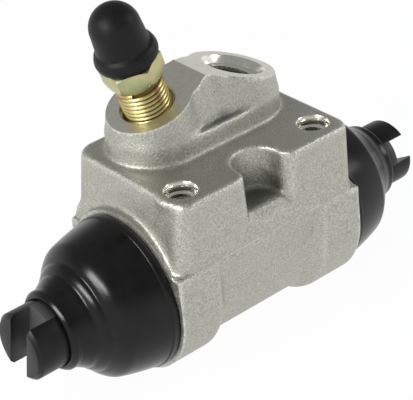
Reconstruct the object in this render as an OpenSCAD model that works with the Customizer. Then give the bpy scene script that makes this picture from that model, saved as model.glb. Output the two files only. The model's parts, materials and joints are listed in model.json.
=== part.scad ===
// Drum brake wheel cylinder: cast aluminium body, two opposed slotted pistons under rubber boots,
// pressure cups with expanders and a spring between them, and a capped bleeder screw.
// The bore runs along X, the mounting face looks along +Z, and the origin lies on that face,
// midway between its two threaded holes.

/* [Cylinder] */
// Diameter of the bore
bore_d = 22.2; // [20:0.1:23]
// Length of the casting over its two end collars
body_len = 48.9; // [47:0.1:52]
// Diameter of the end collars
collar_d = 34.9; // [34.4:0.1:36]
// Length of each end collar at its full diameter
collar_len = 9.6; // [8.5:0.1:11]
// Length of the slope from a collar down to the barrel
collar_slope = 3.2; // [2.5:0.1:4]
// Diameter of the barrel between the collars
barrel_d = 31.1; // [30:0.1:33]
// Height of the parting ledge above the bore axis
ledge_h = 9.6; // [8:0.1:11]
// Radius of the round ear at the back of each end collar
ear_r = 5.2; // [4.5:0.1:5.5]
// Diameter of the spigot that carries each boot
spigot_d = 28.4; // [27.8:0.1:29.2]
// Length of each boot spigot beyond its collar
spigot_len = 4.2; // [3.8:0.1:5]
// Depth of the boot groove in each spigot
boot_groove = 0.9; // [0.6:0.1:1.2]

/* [Mounting block] */
// Height of the mounting face above the bore axis
face_h = 24.8; // [23:0.1:28]
// Distance of each end of the mounting face behind the end of the casting
face_set_in = 1.85; // [1.6:0.05:2.4]
// Width of the mounting face
face_w = 34.1; // [33.6:0.1:34.4]
// Offset of the mounting face along the bore from the middle of the casting
face_shift = 0.85; // [0:0.05:1]
// Distance of the bore axis from the middle of the mounting face, towards its holes
bore_offset = 0.3; // [0:0.1:0.6]
// Growth of each end of the block from the face down to the ledge
end_draft = 1.2; // [0.6:0.1:1.6]
// Growth of each side of the block from the face down to the ledge
side_draft = 0.15; // [0:0.05:0.2]
// Radius of the two corners beside the threaded holes
front_corner_r = 3; // [2:0.5:4]
// Radius of the two corners behind the boss
back_corner_r = 4; // [3:0.5:7]
// Bevel round the edge of the mounting face
face_bevel = 0.6; // [0.3:0.1:1]
// Distance of each mounting hole from its end of the mounting face
hole_end = 5; // [4.6:0.1:5.5]
// Offset of the mounting holes along the bore from the middle of the casting
hole_shift = 0.45; // [0:0.05:0.9]
// Distance of the mounting holes from the front edge of the face
hole_inset = 5.8; // [5.4:0.1:6.5]
// Thread diameter of the mounting holes
hole_d = 6; // [5:0.5:7]
// Depth of the mounting holes
hole_depth = 12; // [9:0.5:13]
// Radius of the lug round each mounting hole
lug_r = 5.3; // [5:0.1:5.6]
// Radius of the relief scoop in the front edge
relief_r = 5.25; // [4.5:0.05:6]
// Depth of the relief scoop below the mounting face
relief_depth = 9.3; // [8:0.1:10.5]
// Radius that the scoop loses from the mounting face down to its floor
relief_draft = 0.6; // [0.3:0.1:1]
// Radius of the two round corners at the scoop's mouth
relief_mouth_r = 3.4; // [2.5:0.1:4]
// Height of the bevel from the scoop's floor down the front
relief_lip = 2; // [1:0.1:2.5]

/* [Port boss] */
// Distance of the boss centre line behind the bore axis
boss_y = 6.2; // [5.5:0.1:6.5]
// Offset of the boss along the bore from the middle of the casting
boss_shift = 1.05; // [0:0.05:1.2]
// Distance between the bleeder tower and the inlet tower
tower_spacing = 20.6; // [19.5:0.1:21.5]
// Radius of the towers and of the plinth under them
tower_r = 10; // [9.6:0.1:10.2]
// Height of the plinth above the mounting face
plinth_h = 4.6; // [3:0.1:5]
// Radius that each tower loses from the plinth up to the ridge
tower_taper = 1.6; // [1:0.1:2]
// Lean of each tower away from the other in degrees
tower_lean = 3; // [2:0.5:5]
// Height of the ridge between the two milled faces above the mounting face
ridge_h = 13.4; // [12:0.1:15]
// Half width of the saddle wall between the towers, at the ridge
saddle_half_w = 4.4; // [3.5:0.1:5]
// Half width of the saddle wall at the plinth
saddle_foot_half_w = 7.2; // [6.4:0.1:7.6]
// Radius of the hollow on each side of the saddle, at the ridge
hollow_r = 5.2; // [4.4:0.1:5.6]
// Radius of the hollow on each side of the saddle, at the plinth
hollow_foot_r = 7; // [6:0.1:7.6]
// Distance of each port from the ridge, along the bore
port_reach = 11.4; // [10.5:0.1:11.8]
// Slope of the bleeder face in degrees
bleeder_tilt = 17; // [13:0.5:18]
// Slope of the inlet face in degrees
inlet_tilt = 18; // [14:0.5:20]
// Thread diameter of the inlet port
inlet_d = 10; // [9:0.5:10.5]
// Length of the inlet port's thread
inlet_thread_len = 9; // [7:0.5:10]
// Diameter of the counterbore at the inlet's mouth
inlet_mouth_d = 12.6; // [11.6:0.1:13.4]
// Depth of the counterbore at the inlet's mouth
inlet_mouth_depth = 1.3; // [0.8:0.1:2]
// Diameter of the drilled passages to the bore
passage_d = 3.2; // [2.5:0.1:4]

/* [Bleeder] */
// Thread diameter of the bleeder screw
bleeder_d = 10; // [8:0.5:10]
// Length of bleeder thread that stands out of the boss
bleeder_stand = 6.3; // [5:0.1:8]
// Length of bleeder thread inside the boss
bleeder_grip = 8; // [6:0.5:9]
// Hexagon size across its flats
hex_af = 11; // [10:0.5:12]
// Height of the hexagon
hex_h = 5; // [4:0.1:6]
// Turn of the hexagon about the screw's axis at rest
hex_turn = 25; // [0:1:60]
// Diameter of the hose nipple
nipple_d = 6.4; // [5.5:0.1:7]
// Height of the hose nipple above the hexagon
nipple_h = 9.4; // [8:0.1:10]
// Diameter of the bleed hole through the screw
bleed_hole_d = 2; // [1.5:0.1:2.5]
// Diameter of the cap's barrel
cap_d = 10.3; // [9.8:0.1:10.8]
// Diameter of the cap's lip
cap_lip_d = 13.2; // [12.8:0.1:13.8]
// Height of the cap from its lip to the top of its dome
cap_h = 13.2; // [12.4:0.1:14.4]

/* [Pistons and seals] */
// Distance between the inner faces of the two pistons at rest
piston_gap = 24; // [23:0.5:26]
// Length of each piston's skirt in the bore
skirt_len = 15; // [12:0.5:16]
// Diameter of each piston's nose
nose_d = 14.3; // [13.5:0.1:15]
// Distance over the tips of the two pistons at rest
tip_span = 103; // [101:0.1:105]
// Width of the slot for the brake shoe's web
slot_w = 5.1; // [4.6:0.1:6]
// Depth of the slot
slot_depth = 4.6; // [4.2:0.1:5.5]
// Turn of the left piston's slot about the bore, from upright
left_slot_turn = 12; // [-90:1:90]
// Turn of the right piston's slot about the bore, from upright
right_slot_turn = 60; // [-90:1:90]
// Radial clearance of the pistons in the bore
piston_clearance = 0.05; // [0.02:0.01:0.1]
// Axial length of a pressure cup
cup_len = 7; // [6:0.1:7.5]
// Thickness of a cup's back wall
cup_back = 3; // [2.5:0.1:3.5]
// Sheet thickness of the cup expanders
expander_t = 0.6; // [0.4:0.1:0.8]
// Mean diameter of the spring
spring_d = 11; // [9:0.5:12]
// Wire diameter of the spring
spring_wire = 1.1; // [0.8:0.1:1.3]
// Number of turns of the spring
spring_turns = 6; // [4:1:7]

/* [Boots] */
// Outer diameter of a boot's lip against its collar
boot_lip_d = 33.9; // [33:0.1:34.2]
// Diameter of a boot at its shoulder
boot_shoulder_d = 28.8; // [27.4:0.1:29.4]
// Length of a boot's taper from its collar to its shoulder
boot_taper_len = 10.8; // [10:0.1:11.4]
// Length of a boot from its collar to its end
boot_len = 20.1; // [19.5:0.1:21]
// Wall thickness of a boot
boot_wall = 1.2; // [0.9:0.1:1.3]
// Diameter of the bead that grips the piston's nose
boot_bead_d = 17.2; // [16.6:0.1:17.4]

/* [Hidden] */
$fn = 96;
// Overrun of a cutter past the surface that it opens
over = 1;
// Thickness of the discs that span the drafted block
disc_t = 0.01;
// Set-back of a round face from the wall under it
set_back = 0.15;
// Room between a rubber piece and its neighbour
soft_gap = 0.2;
// Room between the bleeder's thread and its hole
thread_gap = 0.05;
// Widening of a mounting hole's countersink past its thread, on the radius
countersink = 0.3;
// Widening of the bleeder hole's mouth past its thread, on the radius
bleeder_mouth = 0.85;
// Bevel on the rim of the inlet's counterbore
inlet_bevel = 0.3;
// Depth of the bevel on the scoop's floor
relief_lip_depth = 1.4;
// Reach of the saddle's flanks towards the towers, past its waist
flank = 1.4;
// Distance of each ear's face behind the end of the casting
ear_set_in = 1;
// Start and length of the boot groove on a spigot, from its collar
boot_groove_x = 1.2;
boot_groove_len = 2;
// Bevel on the mouth of each spigot
spigot_bevel = 0.4;
// Bevel on the edges of a piston's skirt and on its slotted tip
skirt_bevel = 0.5;
tip_bevel = 0.8;
// Groove that holds the boot's bead on a nose: its length, its depth and its place before the boot's end
bead_groove_len = 2.6;
bead_groove_depth = 0.9;
bead_groove_back = 3.3;
// Lip of a boot against its collar: its length and the step behind it
boot_lip_len = 1.5;
boot_lip_step = 0.5;
// Share of a boot's fall from its shoulder to its bead that is round; the rest is straight
neck_round = 0.6;
// Straight end of a boot over its bead, and the bevel on it
boot_bead_len = 2.2;
boot_bead_bevel = 0.8;
// Bevels under and over the hexagon
hex_under_bevel = 2;
hex_over_bevel = 0.5;
// Height of the nipple's waist and of the bead above it, and the depth of the waist
waist_h = 4;
nipple_bead_h = 1.6;
waist_depth = 0.5;
nipple_bevel = 1.2;
// Height and depth of the cap's bulged lip
cap_lip_h = 3.6;
cap_lip_bulge = 1.4;
// Widening of the cap's barrel from its dome to its lip, on the radius
cap_taper = 0.3;

bore_r = bore_d / 2;
collar_r = collar_d / 2;
barrel_r = barrel_d / 2;
spigot_r = spigot_d / 2;
face_len = body_len - 2 * face_set_in;
face_front = face_w / 2 - bore_offset;
face_back = face_w / 2 + bore_offset;
hole_spacing = face_len - 2 * hole_end;
bore_y = face_front - hole_inset;
hole_y = -bore_y;
bore_end = body_len / 2 + spigot_len;
tower_half = tower_spacing / 2;
// Height of a milled boss face at its port, above the bore axis
bleeder_face_z = face_h + ridge_h - port_reach * tan(bleeder_tilt);
inlet_face_z = face_h + ridge_h - port_reach * tan(inlet_tilt);
nose_r = nose_d / 2;
tip_x = tip_span / 2;
skirt_start = piston_gap / 2;
skirt_end = skirt_start + skirt_len;
cup_end = skirt_start - soft_gap;
cup_floor = cup_end - cup_back;
expander_x = cup_floor - soft_gap;
// Depth of the cup's waist below its rim, and the thickness of its lip
cup_waist = 0.5;
cup_lip_t = 0.8;
// Distance of a cup's hollow from the bore's wall, the expander's height in it and the flare of its rim
dish_set_in = 3.6;
dish_r = bore_r - dish_set_in;
dish_h = 2.4;
dish_flare = 0.4;
boot_start = body_len / 2 + soft_gap;
boot_end = body_len / 2 + boot_len;
bead_groove_x = boot_end - bead_groove_back;

// Points of an elliptic arc about a centre, from one angle to another
function arc(c, r, a, b, n) =
    [for (i = [0 : n]) let (t = a + (b - a) * i / n) c + [r.x * cos(t), r.y * sin(t)]];
// Points of an S-shaped slope between two stations of a profile
function slope(p, q, n) =
    [for (i = [0 : n]) [p.x + (q.x - p.x) * i / n, p.y + (q.y - p.y) * (1 - cos(180 * i / n)) / 2]];
// Points of a boot's neck: steep behind the shoulder, easing towards the bead
function neck(p, q, n) =
    [for (i = [0 : n]) let (t = i / n)
        [p.x + (q.x - p.x) * t, p.y + (q.y - p.y) * (neck_round * sin(90 * t) + (1 - neck_round) * t)]];
// A list of points in the other order
function reversed(points) = [for (i = [len(points) - 1 : -1 : 0]) points[i]];

// Puts a piece that is drawn about the bore axis in its place under the mounting face
module on_bore() translate([-hole_shift, bore_y, -face_h]) children();
// Turns a profile of [distance along the bore, radius] into a solid about the bore axis
module about_bore(points) rotate([0, 90, 0]) rotate_extrude() polygon([for (p = points) [p.y, p.x]]);
// Puts a piece on the port axis of one side: -1 is the bleeder, 1 is the inlet
module on_port(side)
    translate([boss_shift + side * port_reach, boss_y, side < 0 ? bleeder_face_z : inlet_face_z])
        rotate([0, side * (side < 0 ? bleeder_tilt : inlet_tilt), 0]) children();
// Copies a piece that is drawn for the right end to one side
module at_end(side) mirror([side < 0 ? 1 : 0, 0, 0]) children();

// Half profile of the casting's underside, from the middle to the right end
half_profile = concat(
    slope([body_len / 2 - collar_len - collar_slope, barrel_r], [body_len / 2 - collar_len, collar_r], 8),
    [[body_len / 2, collar_r]]);
full_profile = concat([for (p = reversed(half_profile)) [-p.x, p.y]], half_profile);

// Round underside with straight walls up to the parting ledge, a flare under the block and two round ears
module barrel() {
    about_bore(concat([[-body_len / 2, 0]], full_profile, [[body_len / 2, 0]]));
    linear_extrude(ledge_h) polygon(concat(full_profile, [for (p = reversed(full_profile)) [p.x, -p.y]]));
    front_flare = slope([0, barrel_r], [ledge_h, face_front + side_draft], 8);
    back_flare = slope([0, barrel_r], [ledge_h, face_back + side_draft], 8);
    flare_len = body_len - 2 * collar_len;
    rotate([90, 0, 90]) translate([0, 0, -flare_len / 2]) linear_extrude(flare_len)
        polygon(concat([for (p = back_flare) [p.y, p.x]], [for (p = reversed(front_flare)) [-p.y, p.x]]));
    for (side = [-1, 1])
        at_end(side) translate([body_len / 2 - collar_len, collar_r - ear_r - set_back, ledge_h])
            rotate([0, 90, 0]) cylinder(r = ear_r, h = collar_len - ear_set_in);
}

// Drafted block with round corners and a bevelled face edge, and a tapered lug round each mounting hole
module block() {
    // height, growth at the ends, growth at the sides and offset along the bore
    levels = [
        [ledge_h - over, end_draft, side_draft, 0],
        [face_h - face_bevel, 0, 0, face_shift],
        [face_h, -face_bevel, -face_bevel, face_shift]
    ];
    hull()
        for (level = levels, sx = [-1, 1], sy = [-1, 1]) {
            r = (sy < 0 ? front_corner_r : back_corner_r) + min(level[1], 0);
            x = face_len / 2 + level[1] - r;
            y = (sy < 0 ? face_front : face_back) + level[2] - r;
            translate([level[3] + sx * x, sy * y, level[0] - disc_t]) cylinder(r = r, h = disc_t, $fn = 32);
        }
    lug_h = face_h - ledge_h - face_bevel;
    for (sx = [-1, 1])
        translate([hole_shift + sx * hole_spacing / 2, hole_y, ledge_h]) rotate_extrude() polygon([
            [0, 0], [lug_r - 2 * end_draft, 0], [lug_r, lug_h], [lug_r - face_bevel, lug_h + face_bevel],
            [0, lug_h + face_bevel]
        ]);
}

// Plinth and two leaning towers with a saddle wall between them, before the ports are drilled
module boss() {
    rise = ridge_h - plinth_h;
    tower_h = rise + over;
    tower_foot_r = tower_r - set_back;
    tower_top_r = tower_foot_r - tower_taper * tower_h / rise;
    // the saddle's two hollows are cones that lean in over the wall between the towers
    hollow_lean = atan((saddle_foot_half_w - saddle_half_w + hollow_foot_r - hollow_r) / rise);
    hollow_y = saddle_foot_half_w + hollow_foot_r / cos(hollow_lean);
    hollow_len = rise / cos(hollow_lean);
    hollow_taper = (hollow_foot_r - hollow_r) / hollow_len;
    web_foot = saddle_foot_half_w + flank;
    web_top = saddle_half_w + flank;
    translate([boss_shift, boss_y, face_h]) difference() {
        union() {
            translate([0, 0, -over]) linear_extrude(plinth_h + over) {
                for (sx = [-1, 1]) translate([sx * tower_half, 0]) circle(tower_r);
                square([tower_spacing, 2 * tower_r], center = true);
            }
            for (sx = [-1, 1])
                translate([sx * tower_half, 0, plinth_h]) rotate([0, sx * tower_lean, 0])
                    rotate_extrude() polygon([
                        [0, -over], [tower_top_r, -over], [tower_foot_r, 0],
                        [tower_top_r, tower_h], [0, tower_h]
                    ]);
            difference() {
                rotate([90, 0, 90]) translate([0, 0, -tower_half]) linear_extrude(tower_spacing) polygon([
                    [-web_foot, plinth_h - over], [web_foot, plinth_h - over],
                    [web_top, ridge_h + over], [-web_top, ridge_h + over]
                ]);
                for (sy = [-1, 1])
                    translate([0, sy * hollow_y, plinth_h]) rotate([sy * hollow_lean, 0, 0])
                        translate([0, 0, -3 * over]) cylinder(
                            r1 = hollow_foot_r + 3 * over * hollow_taper,
                            r2 = hollow_r - 3 * over * hollow_taper,
                            h = hollow_len + 6 * over);
            }
        }
        for (tilt = [-bleeder_tilt, inlet_tilt])
            translate([0, 0, ridge_h]) rotate([0, tilt, 0])
                translate([-face_len, -face_w, 0]) cube([2 * face_len, 2 * face_w, 2 * ridge_h]);
    }
}

// Depth of a port's drilled passage, down its axis into the middle of the bore
function passage_depth(face_z, tilt) = (face_z - sqrt(bore_r ^ 2 - boss_y ^ 2) + 2 * over) / cos(tilt);

// Hole of the bleeder: passage to the bore, seat cone, thread bore and mouth bevel
module bleeder_hole() on_port(-1) {
    hole_r = bleeder_d / 2 + thread_gap;
    seat_r = passage_d / 2;
    bottom = -passage_depth(bleeder_face_z, bleeder_tilt);
    rotate_extrude() polygon([
        [0, bottom], [seat_r, bottom], [seat_r, seat_r - hole_r - bleeder_grip], [hole_r, -bleeder_grip],
        [hole_r, -bleeder_mouth], [hole_r + bleeder_mouth + over, over], [0, over]
    ]);
}

// Hole of the inlet: passage to the bore, thread bore, counterbore and mouth bevel
module inlet_hole() on_port(1) {
    hole_r = inlet_d / 2;
    mouth_r = inlet_mouth_d / 2;
    step_h = (mouth_r - hole_r) / 2;
    bottom = -passage_depth(inlet_face_z, inlet_tilt);
    thread_end = -inlet_mouth_depth - inlet_thread_len;
    rotate_extrude() polygon([
        [0, bottom], [passage_d / 2, bottom], [passage_d / 2, thread_end], [hole_r, thread_end],
        [hole_r, -inlet_mouth_depth - step_h], [mouth_r, -inlet_mouth_depth], [mouth_r, -inlet_bevel],
        [mouth_r + inlet_bevel + over, over], [0, over]
    ]);
}

// One threaded mounting hole with its drill point and countersink
module mounting_hole() {
    hole_r = hole_d / 2;
    rotate_extrude() polygon([
        [0, -hole_depth - hole_r / 2], [hole_r, -hole_depth], [hole_r, -countersink],
        [hole_r + countersink + over, over], [0, over]
    ]);
}

// Relief scoop in the front edge: a drafted round hollow that opens between two drafted round corners
module relief() {
    floor_r = relief_r - relief_draft;
    corner_x = relief_r - set_back + relief_mouth_r;
    front = set_back - relief_mouth_r;
    draft = relief_draft / relief_depth;
    top = relief_depth + over;
    foot = -relief_lip - 4 * over;
    lip_run = relief_lip_depth / relief_lip;
    translate([hole_shift, -face_front - front, face_h - relief_depth]) {
        cylinder(r1 = floor_r, r2 = floor_r + draft * top, h = top);
        difference() {
            union() {
                translate([-corner_x, front - over, 0]) cube([2 * corner_x, over - front, top]);
                rotate([90, 0, 90]) translate([0, 0, -corner_x]) linear_extrude(2 * corner_x) polygon([
                    [front + (relief_lip + over) * lip_run, over],
                    [front - over, -relief_lip - over / lip_run], [front - over, over]
                ]);
            }
            for (sx = [-1, 1])
                translate([sx * corner_x, 0, foot]) cylinder(
                    r1 = relief_mouth_r + relief_draft - draft * foot,
                    r2 = relief_mouth_r - draft * over,
                    h = top + over - foot);
        }
    }
}

// Cast and machined cylinder body
module body() color([0.69, 0.69, 0.65]) on_bore() difference() {
    union() {
        barrel();
        block();
        boss();
        for (side = [-1, 1]) at_end(side) spigot();
    }
    translate([-bore_end - over, 0, 0]) rotate([0, 90, 0]) cylinder(r = bore_r, h = 2 * (bore_end + over));
    for (sx = [-1, 1]) translate([hole_shift + sx * hole_spacing / 2, hole_y, face_h]) mounting_hole();
    relief();
    bleeder_hole();
    inlet_hole();
}

// Turned spigot at the right end, with the groove that the boot's bead snaps into
module spigot() {
    groove_r = spigot_r - boot_groove;
    collar_x = body_len / 2;
    start = collar_x + boot_groove_x;
    end = start + boot_groove_len;
    about_bore([
        [collar_x - over, 0], [collar_x - over, spigot_r], [start, spigot_r], [start, groove_r],
        [end, groove_r], [end, spigot_r], [bore_end - spigot_bevel, spigot_r],
        [bore_end, spigot_r - spigot_bevel], [bore_end, 0]
    ]);
}

// Right piston, slot upright: skirt, shoulder, nose with the boot groove, and the slotted end
module piston(turn) color([0.13, 0.13, 0.14]) rotate([turn, 0, 0]) difference() {
    skirt_r = bore_r - piston_clearance;
    groove_r = nose_r - bead_groove_depth;
    groove_end = bead_groove_x + bead_groove_len;
    about_bore([
        [skirt_start, 0], [skirt_start, skirt_r - skirt_bevel], [skirt_start + skirt_bevel, skirt_r],
        [skirt_end - skirt_bevel, skirt_r], [skirt_end, skirt_r - skirt_bevel],
        [skirt_end, nose_r + skirt_bevel], [skirt_end + skirt_bevel, nose_r],
        [bead_groove_x, nose_r], [bead_groove_x, groove_r], [groove_end, groove_r], [groove_end, nose_r],
        [tip_x - tip_bevel, nose_r], [tip_x, nose_r - tip_bevel], [tip_x, 0]
    ]);
    translate([tip_x - slot_depth, -slot_w / 2, -nose_r - over])
        cube([slot_depth + over, slot_w, 2 * (nose_r + over)]);
}

module left_piston() on_bore() at_end(-1) piston(left_slot_turn);
module right_piston() on_bore() at_end(1) piston(right_slot_turn);

// Right pressure cup: thick back against the piston, flared lip towards the middle
module cup() color([0.16, 0.16, 0.15]) {
    rim_r = bore_r - 2 * piston_clearance;
    waist_r = rim_r - cup_waist;
    lip_x = cup_end - cup_len;
    about_bore([
        [cup_end, 0], [cup_end, waist_r - cup_waist], [cup_end - 2 * cup_waist, waist_r],
        [cup_floor, waist_r],
        [lip_x, rim_r], [lip_x, rim_r - cup_lip_t], [cup_floor - cup_lip_t, dish_r + dish_flare + soft_gap],
        [cup_floor, dish_r], [cup_floor, 0]
    ]);
}

module left_cup() on_bore() at_end(-1) cup();
module right_cup() on_bore() at_end(1) cup();

// Right expander: pressed sheet dish whose rim spreads the cup's lip
module expander() color([0.62, 0.63, 0.65]) {
    knee_x = expander_x - expander_t;
    rim_x = expander_x - dish_h;
    about_bore([
        [expander_x, 0], [expander_x, dish_r - 2 * expander_t], [knee_x, dish_r - expander_t],
        [rim_x, dish_r - expander_t + dish_flare], [rim_x, dish_r - 2 * expander_t + dish_flare],
        [knee_x - expander_t / 2, dish_r - 2 * expander_t], [knee_x, dish_r - 3 * expander_t], [knee_x, 0]
    ]);
}

module left_expander() on_bore() at_end(-1) expander();
module right_expander() on_bore() at_end(1) expander();

// Compression spring: a round wire swept along a helix whose end turns lie closer together
module spring() color([0.55, 0.56, 0.58]) on_bore() {
    sides = 8;
    steps = 20 * spring_turns;
    wire_r = spring_wire / 2;
    half = expander_x - expander_t - soft_gap - wire_r;
    // share of the length that is pitched evenly
    even = 0.75;
    rings = [
        for (i = [0 : steps])
            let (
                u = i / steps,
                a = 360 * spring_turns * u,
                x = half * ((even - 1) * cos(180 * u) + even * (2 * u - 1))
            )
                [for (k = [0 : sides - 1])
                    let (b = 360 * k / sides, r = spring_d / 2 + wire_r * cos(b))
                        [x + wire_r * sin(b), r * cos(a), r * sin(a)]]
    ];
    walls = [
        for (i = [0 : steps - 1], k = [0 : sides - 1])
            let (n = (k + 1) % sides, p = i * sides, q = p + sides)
                each [[p + k, q + k, q + n], [p + k, q + n, p + n]]
    ];
    ends = [[for (k = [0 : sides - 1]) k], [for (k = [sides - 1 : -1 : 0]) steps * sides + k]];
    polyhedron([for (ring = rings) each ring], concat(walls, ends));
}

// Right boot: lip and bead on the spigot, tapered wall, shoulder and neck, and the bead on the nose
module boot() color([0.12, 0.12, 0.12]) {
    lip_r = boot_lip_d / 2;
    shoulder_r = boot_shoulder_d / 2;
    bead_r = boot_bead_d / 2;
    lip_x = boot_start + boot_lip_len;
    shoulder_x = body_len / 2 + boot_taper_len;
    bead_x = boot_end - boot_bead_len;
    seat_r = spigot_r + soft_gap;
    groove_r = seat_r - boot_groove;
    groove_start = body_len / 2 + boot_groove_x + soft_gap;
    groove_end = body_len / 2 + boot_groove_x + boot_groove_len - soft_gap;
    hole_r = nose_r + soft_gap;
    hole_bead_r = hole_r - bead_groove_depth;
    bead_start = bead_groove_x + soft_gap;
    bead_end = bead_groove_x + bead_groove_len - soft_gap;
    outer = concat(
        [[boot_start, lip_r], [lip_x, lip_r], [lip_x, lip_r - boot_lip_step]],
        neck([shoulder_x, shoulder_r], [bead_x, bead_r], 12),
        [[boot_end - boot_bead_bevel, bead_r], [boot_end, bead_r - boot_bead_bevel]]);
    inner = concat(
        [[boot_end, hole_r], [bead_end, hole_r], [bead_end, hole_bead_r],
         [bead_start, hole_bead_r], [bead_start, hole_r]],
        reversed(neck([shoulder_x - boot_wall, shoulder_r - boot_wall], [bead_x - boot_wall, hole_r], 12)),
        [[bore_end + soft_gap, seat_r], [groove_end, seat_r], [groove_end, groove_r],
         [groove_start, groove_r], [groove_start, seat_r], [boot_start, seat_r]]);
    about_bore(concat(outer, inner));
}

module left_boot() on_bore() at_end(-1) boot();
module right_boot() on_bore() at_end(1) boot();

// Bleeder screw about its own axis, zero at the milled face
module bleeder_screw() color([0.76, 0.68, 0.36]) on_bore() on_port(-1) {
    thread_r = bleeder_d / 2;
    seat_r = passage_d / 2;
    hex_top = bleeder_stand + hex_h;
    corner_r = hex_af / sqrt(3);
    nipple_r = nipple_d / 2;
    waist_r = nipple_r - waist_depth;
    bead_h = waist_h + waist_depth;
    grip = bleeder_grip - soft_gap;
    cross_h = 2 * over - bleeder_grip;
    difference() {
        union() {
            rotate_extrude() polygon([
                [0, seat_r - thread_r - grip], [seat_r, seat_r - thread_r - grip], [thread_r, -grip],
                [thread_r, bleeder_stand + hex_h / 2], [waist_r, bleeder_stand + hex_h / 2],
                [waist_r, hex_top + waist_h], [nipple_r, hex_top + bead_h],
                [nipple_r, hex_top + bead_h + nipple_bead_h], [nipple_r - nipple_bevel, hex_top + nipple_h],
                [0, hex_top + nipple_h]
            ]);
            intersection() {
                translate([0, 0, bleeder_stand]) rotate(hex_turn) cylinder(r = corner_r, h = hex_h, $fn = 6);
                rotate_extrude() polygon([
                    [0, bleeder_stand - over], [thread_r - over, bleeder_stand - over],
                    [corner_r + set_back, bleeder_stand + hex_under_bevel],
                    [corner_r + set_back, hex_top - hex_over_bevel],
                    [corner_r - 2 * hex_over_bevel, hex_top + set_back], [0, hex_top + set_back]
                ]);
            }
        }
        translate([0, 0, cross_h]) cylinder(d = bleed_hole_d, h = hex_top + nipple_h + bleeder_grip);
        translate([0, 0, cross_h]) rotate([90, 0, 0])
            cylinder(d = bleed_hole_d, h = bleeder_d + 2 * over, center = true);
    }
}

// Rubber dust cap: bulged lip over the hexagon, tapered barrel and dome, hollow over the nipple
module bleeder_cap() color([0.11, 0.11, 0.11]) on_bore() on_port(-1) {
    foot = bleeder_stand + hex_h + soft_gap;
    barrel_top_r = cap_d / 2;
    dome_z = foot + cap_h - barrel_top_r;
    lip_half = cap_lip_h / 2;
    hole_r = nipple_d / 2 + soft_gap;
    hole_top = foot + nipple_h + soft_gap;
    rotate_extrude() polygon(concat(
        [[hole_r, foot]],
        arc([cap_lip_d / 2 - cap_lip_bulge, foot + lip_half], [cap_lip_bulge, lip_half], -90, 70, 10),
        [[barrel_top_r + cap_taper, foot + cap_lip_h]],
        arc([0, dome_z], [barrel_top_r, barrel_top_r], 0, 90, 16),
        [[0, hole_top], [hole_r - nipple_bevel, hole_top], [hole_r, hole_top - nipple_bevel]]
    ));
}

body();
left_piston();
right_piston();
left_cup();
right_cup();
left_expander();
right_expander();
spring();
left_boot();
right_boot();
bleeder_screw();
bleeder_cap();
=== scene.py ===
import json
import math

import bmesh
import bpy
from mathutils import Matrix, Vector


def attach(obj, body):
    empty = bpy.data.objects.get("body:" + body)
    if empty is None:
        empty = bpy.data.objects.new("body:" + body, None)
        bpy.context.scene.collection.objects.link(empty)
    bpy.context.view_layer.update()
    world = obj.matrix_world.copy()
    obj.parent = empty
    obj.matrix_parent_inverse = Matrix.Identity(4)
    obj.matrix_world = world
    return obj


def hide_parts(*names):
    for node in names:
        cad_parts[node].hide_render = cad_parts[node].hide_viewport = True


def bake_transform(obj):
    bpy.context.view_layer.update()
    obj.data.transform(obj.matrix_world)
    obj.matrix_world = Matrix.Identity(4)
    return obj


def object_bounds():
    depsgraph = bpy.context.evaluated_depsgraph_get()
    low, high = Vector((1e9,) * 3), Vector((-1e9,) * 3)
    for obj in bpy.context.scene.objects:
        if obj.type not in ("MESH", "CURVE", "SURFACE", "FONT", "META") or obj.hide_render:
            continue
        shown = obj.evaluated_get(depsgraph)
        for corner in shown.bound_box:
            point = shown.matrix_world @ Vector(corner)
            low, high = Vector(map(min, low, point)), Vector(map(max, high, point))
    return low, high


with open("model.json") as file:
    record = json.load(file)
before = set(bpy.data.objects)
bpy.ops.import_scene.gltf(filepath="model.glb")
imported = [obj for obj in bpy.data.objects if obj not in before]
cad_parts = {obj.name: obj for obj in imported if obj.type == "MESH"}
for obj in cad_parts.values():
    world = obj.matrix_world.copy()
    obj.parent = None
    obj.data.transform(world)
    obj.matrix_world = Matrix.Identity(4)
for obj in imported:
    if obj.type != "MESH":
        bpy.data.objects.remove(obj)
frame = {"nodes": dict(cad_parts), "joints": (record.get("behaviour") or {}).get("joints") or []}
cad_low, cad_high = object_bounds()
scene = bpy.context.scene
scene.view_settings.view_transform = "Standard"

# The camera looks down on the near end of the bore from the side of the mounting holes,
# on a long lens and with a slight roll.
camera = bpy.data.objects.new("camera", bpy.data.cameras.new("camera"))
scene.collection.objects.link(camera)
scene.camera = camera
camera_right = (0.752243, -0.655202, -0.069570)
camera_up = (0.390622, 0.358446, 0.847898)
camera_back = (-0.530608, -0.665001, 0.525575)
camera_place = (-0.184543, -0.216893, 0.166332)
camera.matrix_world = (
    Matrix.Translation(camera_place)
    @ Matrix((camera_right, camera_up, camera_back)).transposed().to_4x4()
)
camera.data.sensor_fit = "HORIZONTAL"
camera.data.sensor_width = 36.0
camera.data.lens = 145.71
camera.data.clip_start = 0.01

# The stage: a white table under the cylinder, a room that is bright at the horizon and
# darker overhead, a long soft box over the near end and a small one at the far end.
TABLE_HALF = 3
table_mesh = bpy.data.meshes.new("table")
table_corners = [(x * TABLE_HALF, y * TABLE_HALF, cad_low.z) for x, y in ((-1, -1), (1, -1), (1, 1), (-1, 1))]
table_mesh.from_pydata(table_corners, [], [(0, 1, 2, 3)])
table = bpy.data.objects.new("table", table_mesh)
scene.collection.objects.link(table)

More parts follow.
